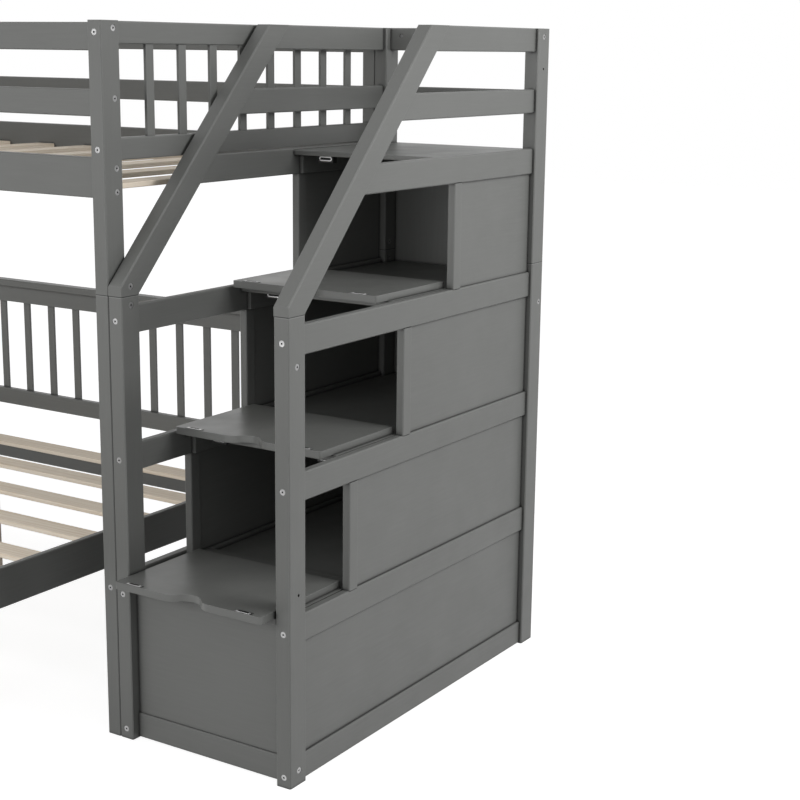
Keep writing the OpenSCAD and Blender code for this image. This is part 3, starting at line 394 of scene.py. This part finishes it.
def screw(name, place, r, high, body):
    """A domed screw head with a hollow drive."""
    profile = [(1.0, SUNK), (1.0, 0.3 * high), (0.9, 0.7 * high), (0.6, high), (0.4, high), (0.3, DRIVE_END)]
    outlines = [(circle(share * r), z) for share, z in profile]
    build(name, *layers(place, outlines), chrome, body)


def lying(mid, du=0.0, dv=0.0):
    """Turns (u, v, height) into a point on a level surface."""
    return lambda u, v, z: mid + Vector((u + du, v + dv, z))


def facing_front(mid):
    """Turns (u, v, height) into a point on an upright surface that faces the front."""
    return lambda u, v, z: mid + Vector((u, -z, v))


for i in (1, 2, 3):
    low, high = (Vector(p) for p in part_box(f"strike_plates_{i}"))
    body = f"flap_{i}"
    for side, x in (("left", low.x), ("right", high.x - PLATE_L)):
        mid = Vector((x + PLATE_L / 2, low.y + PLATE_W / 2, high.z))
        pad(f"strike_pad_{i}_{side}", lying(mid, dv=PAD_PLACE), *PAD, CORNER, PROUD, black, body)
        pad(f"strike_lip_{i}_{side}", lying(mid, dv=LIP_PLACE), *LIP, CORNER, PROUD, chrome, body)
        for end, place in (("a", -SCREW_PLACE), ("b", SCREW_PLACE)):
            screw(f"strike_screw_{i}_{side}_{end}", lying(mid, du=place), SCREW_R, PROUD, body)

# The box of the catches starts at the lowest pair, and each next pair is one step of the stairs on
low, high = (Vector(p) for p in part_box("catches"))
step = Vector(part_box("strike_plates_2")[0]) - Vector(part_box("strike_plates_1")[0])
for i in (0, 1, 2):
    for side, x in (("left", low.x), ("right", high.x - PLATE_L)):
        mid = Vector((x + PLATE_L / 2, low.y + i * step.y, low.z + i * step.z + RING_UP))
        name = f"catch_ring_{i + 1}_{side}"
        ring(name, facing_front(mid), *RING, RING_CORNER, RING_WALL, PROUD, "frame")

# Room, light and camera

# The floor's edge in metres, and its place just under the feet
FLOOR_SIZE = 30.0
FLOOR_Z = -0.0005
# The floor as it is seen, its own glow and its share of the light on it, and as it lights the bed
FLOOR_GLOW = 0.80
FLOOR_MATT = 0.50
FLOOR_LIT = 0.24
# The world as it lights the bed, from the horizon to straight above
WORLD_HORIZON = 0.74
WORLD_ZENITH = 0.38


def seen(tree):
    """1 for the rays that show the background: camera, mirror and glass rays."""
    path = tree.nodes.new("ShaderNodeLightPath")
    total = path.outputs["Is Camera Ray"]
    for ray in ("Is Glossy Ray", "Is Transmission Ray"):
        both = tree.nodes.new("ShaderNodeMath")
        both.operation = "MAXIMUM"
        tree.links.new(total, both.inputs[0])
        tree.links.new(path.outputs[ray], both.inputs[1])
        total = both.outputs[0]
    return total


def split(tree, kind, lighting, shown):
    """Sends two shaders to an output of a kind: one for the light it gives, one where it is seen."""
    mix = tree.nodes.new("ShaderNodeMixShader")
    tree.links.new(seen(tree), mix.inputs[0])
    tree.links.new(lighting, mix.inputs[1])
    tree.links.new(shown, mix.inputs[2])
    tree.links.new(mix.outputs[0], tree.nodes.new(kind).inputs["Surface"])


def shader(tree, kind, level, strength=None):
    """A shader of one kind in a grey level, where 1 is white."""
    node = tree.nodes.new(kind)
    node.inputs["Color"].default_value = (level, level, level, 1.0)
    if strength is not None:
        node.inputs["Strength"].default_value = strength
    return node.outputs[0]


bpy.ops.mesh.primitive_plane_add(size=FLOOR_SIZE, location=(0.0, 0.0, FLOOR_Z))
floor = bpy.context.object
floor.name = "floor"
floor_mat = bpy.data.materials.new("floor_white")
floor_mat.use_nodes = True
ft = floor_mat.node_tree
ft.nodes.clear()
glow = ft.nodes.new("ShaderNodeAddShader")
ft.links.new(shader(ft, "ShaderNodeEmission", 1.0, FLOOR_GLOW), glow.inputs[0])
ft.links.new(shader(ft, "ShaderNodeBsdfDiffuse", FLOOR_MATT), glow.inputs[1])
split(ft, "ShaderNodeOutputMaterial", shader(ft, "ShaderNodeBsdfDiffuse", FLOOR_LIT), glow.outputs[0])
floor.data.materials.append(floor_mat)

world = bpy.data.worlds.new("studio")
bpy.context.scene.world = world
world.use_nodes = True
wt = world.node_tree
wt.nodes.clear()
direction = wt.nodes.new("ShaderNodeSeparateXYZ")
wt.links.new(wt.nodes.new("ShaderNodeTexCoord").outputs["Generated"], direction.inputs[0])
fade = wt.nodes.new("ShaderNodeMapRange")
fade.inputs["To Min"].default_value = WORLD_HORIZON
fade.inputs["To Max"].default_value = WORLD_ZENITH
wt.links.new(direction.outputs["Z"], fade.inputs["Value"])
lit = shader(wt, "ShaderNodeBackground", 1.0)
wt.links.new(fade.outputs[0], lit.node.inputs["Strength"])
split(wt, "ShaderNodeOutputWorld", lit, shader(wt, "ShaderNodeBackground", 1.0, 1.0))


def softbox(name, place, target, size, power):
    """A white area light, in metres and watts."""
    data = bpy.data.lights.new(name, "AREA")
    data.shape = "RECTANGLE"
    data.size, data.size_y = size
    data.energy = power
    obj = bpy.data.objects.new(name, data)
    bpy.context.scene.collection.objects.link(obj)
    obj.location = place
    aim = Vector(target) - Vector(place)
    obj.rotation_euler = aim.to_track_quat("-Z", "Y").to_euler()


softbox("key", place=(0.0, -3.2, 1.6), target=(0.2, 0.0, 1.3), size=(2.6, 1.2), power=54.0)
softbox("side", place=(3.2, 0.7, 2.2), target=(1.2, 0.5, 1.4), size=(1.6, 1.0), power=42.0)

# The viewpoint, solved from the photo's straight edges, in metres and radians, and the lens in mm
VIEW_PLACE = (3.13108, -2.56632, 1.55)
VIEW_TURN = 0.568292
VIEW_DOWN = 0.218830
VIEW_ROLL = 0.0114235
LENS = 71.2845
SENSOR = 36.0

cam_data = bpy.data.cameras.new("view")
cam_data.lens = LENS
cam_data.sensor_width = SENSOR
cam_data.sensor_fit = "HORIZONTAL"
cam = bpy.data.objects.new("view", cam_data)
bpy.context.scene.collection.objects.link(cam)
cam.matrix_world = (
    Matrix.Translation(VIEW_PLACE)
    @ Matrix.Rotation(VIEW_TURN, 4, "Z")
    @ Matrix.Rotation(math.pi / 2 - VIEW_DOWN, 4, "X")
    @ Matrix.Rotation(VIEW_ROLL, 4, "Z")
)
bpy.context.scene.camera = cam
bpy.context.scene.view_settings.view_transform = "Standard"
